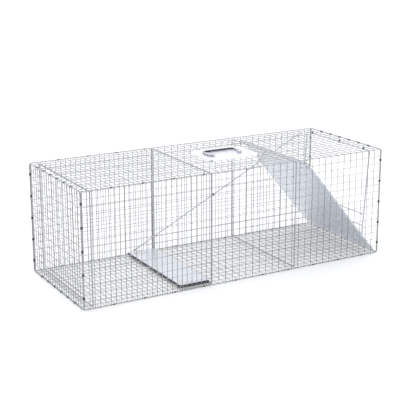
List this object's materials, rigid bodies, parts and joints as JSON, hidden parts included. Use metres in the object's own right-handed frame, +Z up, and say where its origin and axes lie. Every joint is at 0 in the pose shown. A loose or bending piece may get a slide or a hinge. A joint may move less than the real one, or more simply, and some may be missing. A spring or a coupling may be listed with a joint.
{
  "type": "live catch trap",
  "caption": "Long wire-mesh box trap with a sloping drop door, a lock frame, a treadle with a trigger rod, and a folding carrying handle.",
  "frame": {"origin": "middle of the base, on the ground", "axes": "+X towards the door end, +Y to the left-hand side, +Z up"},
  "size_m": [1.1556, 0.4406, 0.3954],
  "materials": {
    "galvanised_wire": "zinc-plated wire, satin",
    "galvanised_sheet": "galvanised sheet, satin",
    "clip_steel": "dull zinc-plated steel",
    "handle_steel": "zinc-plated rod, satin"
  },
  "bodies": {
    "cage": {"right_side_front": "galvanised_wire", "right_side_rear": "galvanised_wire", "left_side_front": "galvanised_wire", "left_side_rear": "galvanised_wire", "roof_front": "galvanised_wire", "roof_rear": "galvanised_wire", "floor_front": "galvanised_wire", "floor_rear": "galvanised_wire", "rear_end": "galvanised_wire", "rear_hoop": "galvanised_wire", "seam_hoop": "galvanised_wire", "door_hoop": "galvanised_wire", "front_rim": "galvanised_wire", "edge_clips": "clip_steel", "end_clips": "clip_steel", "guard_plate": "galvanised_sheet", "guard_rings": "clip_steel", "handle_saddles": "galvanised_sheet", "handle_rivets": "clip_steel", "hinge_rod": "galvanised_wire", "lock_loops": "clip_steel", "treadle_loops": "clip_steel", "rod_guide": "clip_steel"},
    "door_leaf": {"door": "galvanised_sheet"},
    "lock": {"lock_frame": "galvanised_wire"},
    "treadle": {"treadle_pan": "galvanised_sheet", "treadle_rod": "galvanised_wire"},
    "trigger": {"trigger_rod": "galvanised_wire"},
    "bail": {"handle": "handle_steel"}
  },
  "joints": [
    {"name": "door_swing", "type": "hinge", "parent": "cage", "child": "door_leaf", "pos_m": [0.2605, 0, 0.368], "axis": [0, -1, 0], "range_deg": [0, 49.9]},
    {"name": "lock_swing", "type": "hinge", "parent": "cage", "child": "lock", "pos_m": [0.5415, 0, 0.3765], "axis": [0, -1, 0], "range_deg": [0, 94]},
    {"name": "treadle_tilt", "type": "hinge", "parent": "cage", "child": "treadle", "pos_m": [-0.21809, 0, 0.012], "axis": [0, -1, 0], "range_deg": [0, 16]},
    {"name": "trigger_turn", "type": "hinge", "parent": "treadle", "child": "trigger", "pos_m": [-0.19609, 0.2046, 0.016], "axis": [0, -1, 0], "range_deg": [-17, 0]},
    {"name": "handle_swing", "type": "hinge", "parent": "cage", "child": "bail", "pos_m": [0.053, -0.02, 0.39081], "axis": [1, 0, 0], "range_deg": [0, 178]}
  ],
  "couplings": [
    {"joint": "lock_swing", "follows": "door_swing", "ratio": 1.8828},
    {"joint": "trigger_turn", "follows": "treadle_tilt", "ratio": -1.0601}
  ]
}
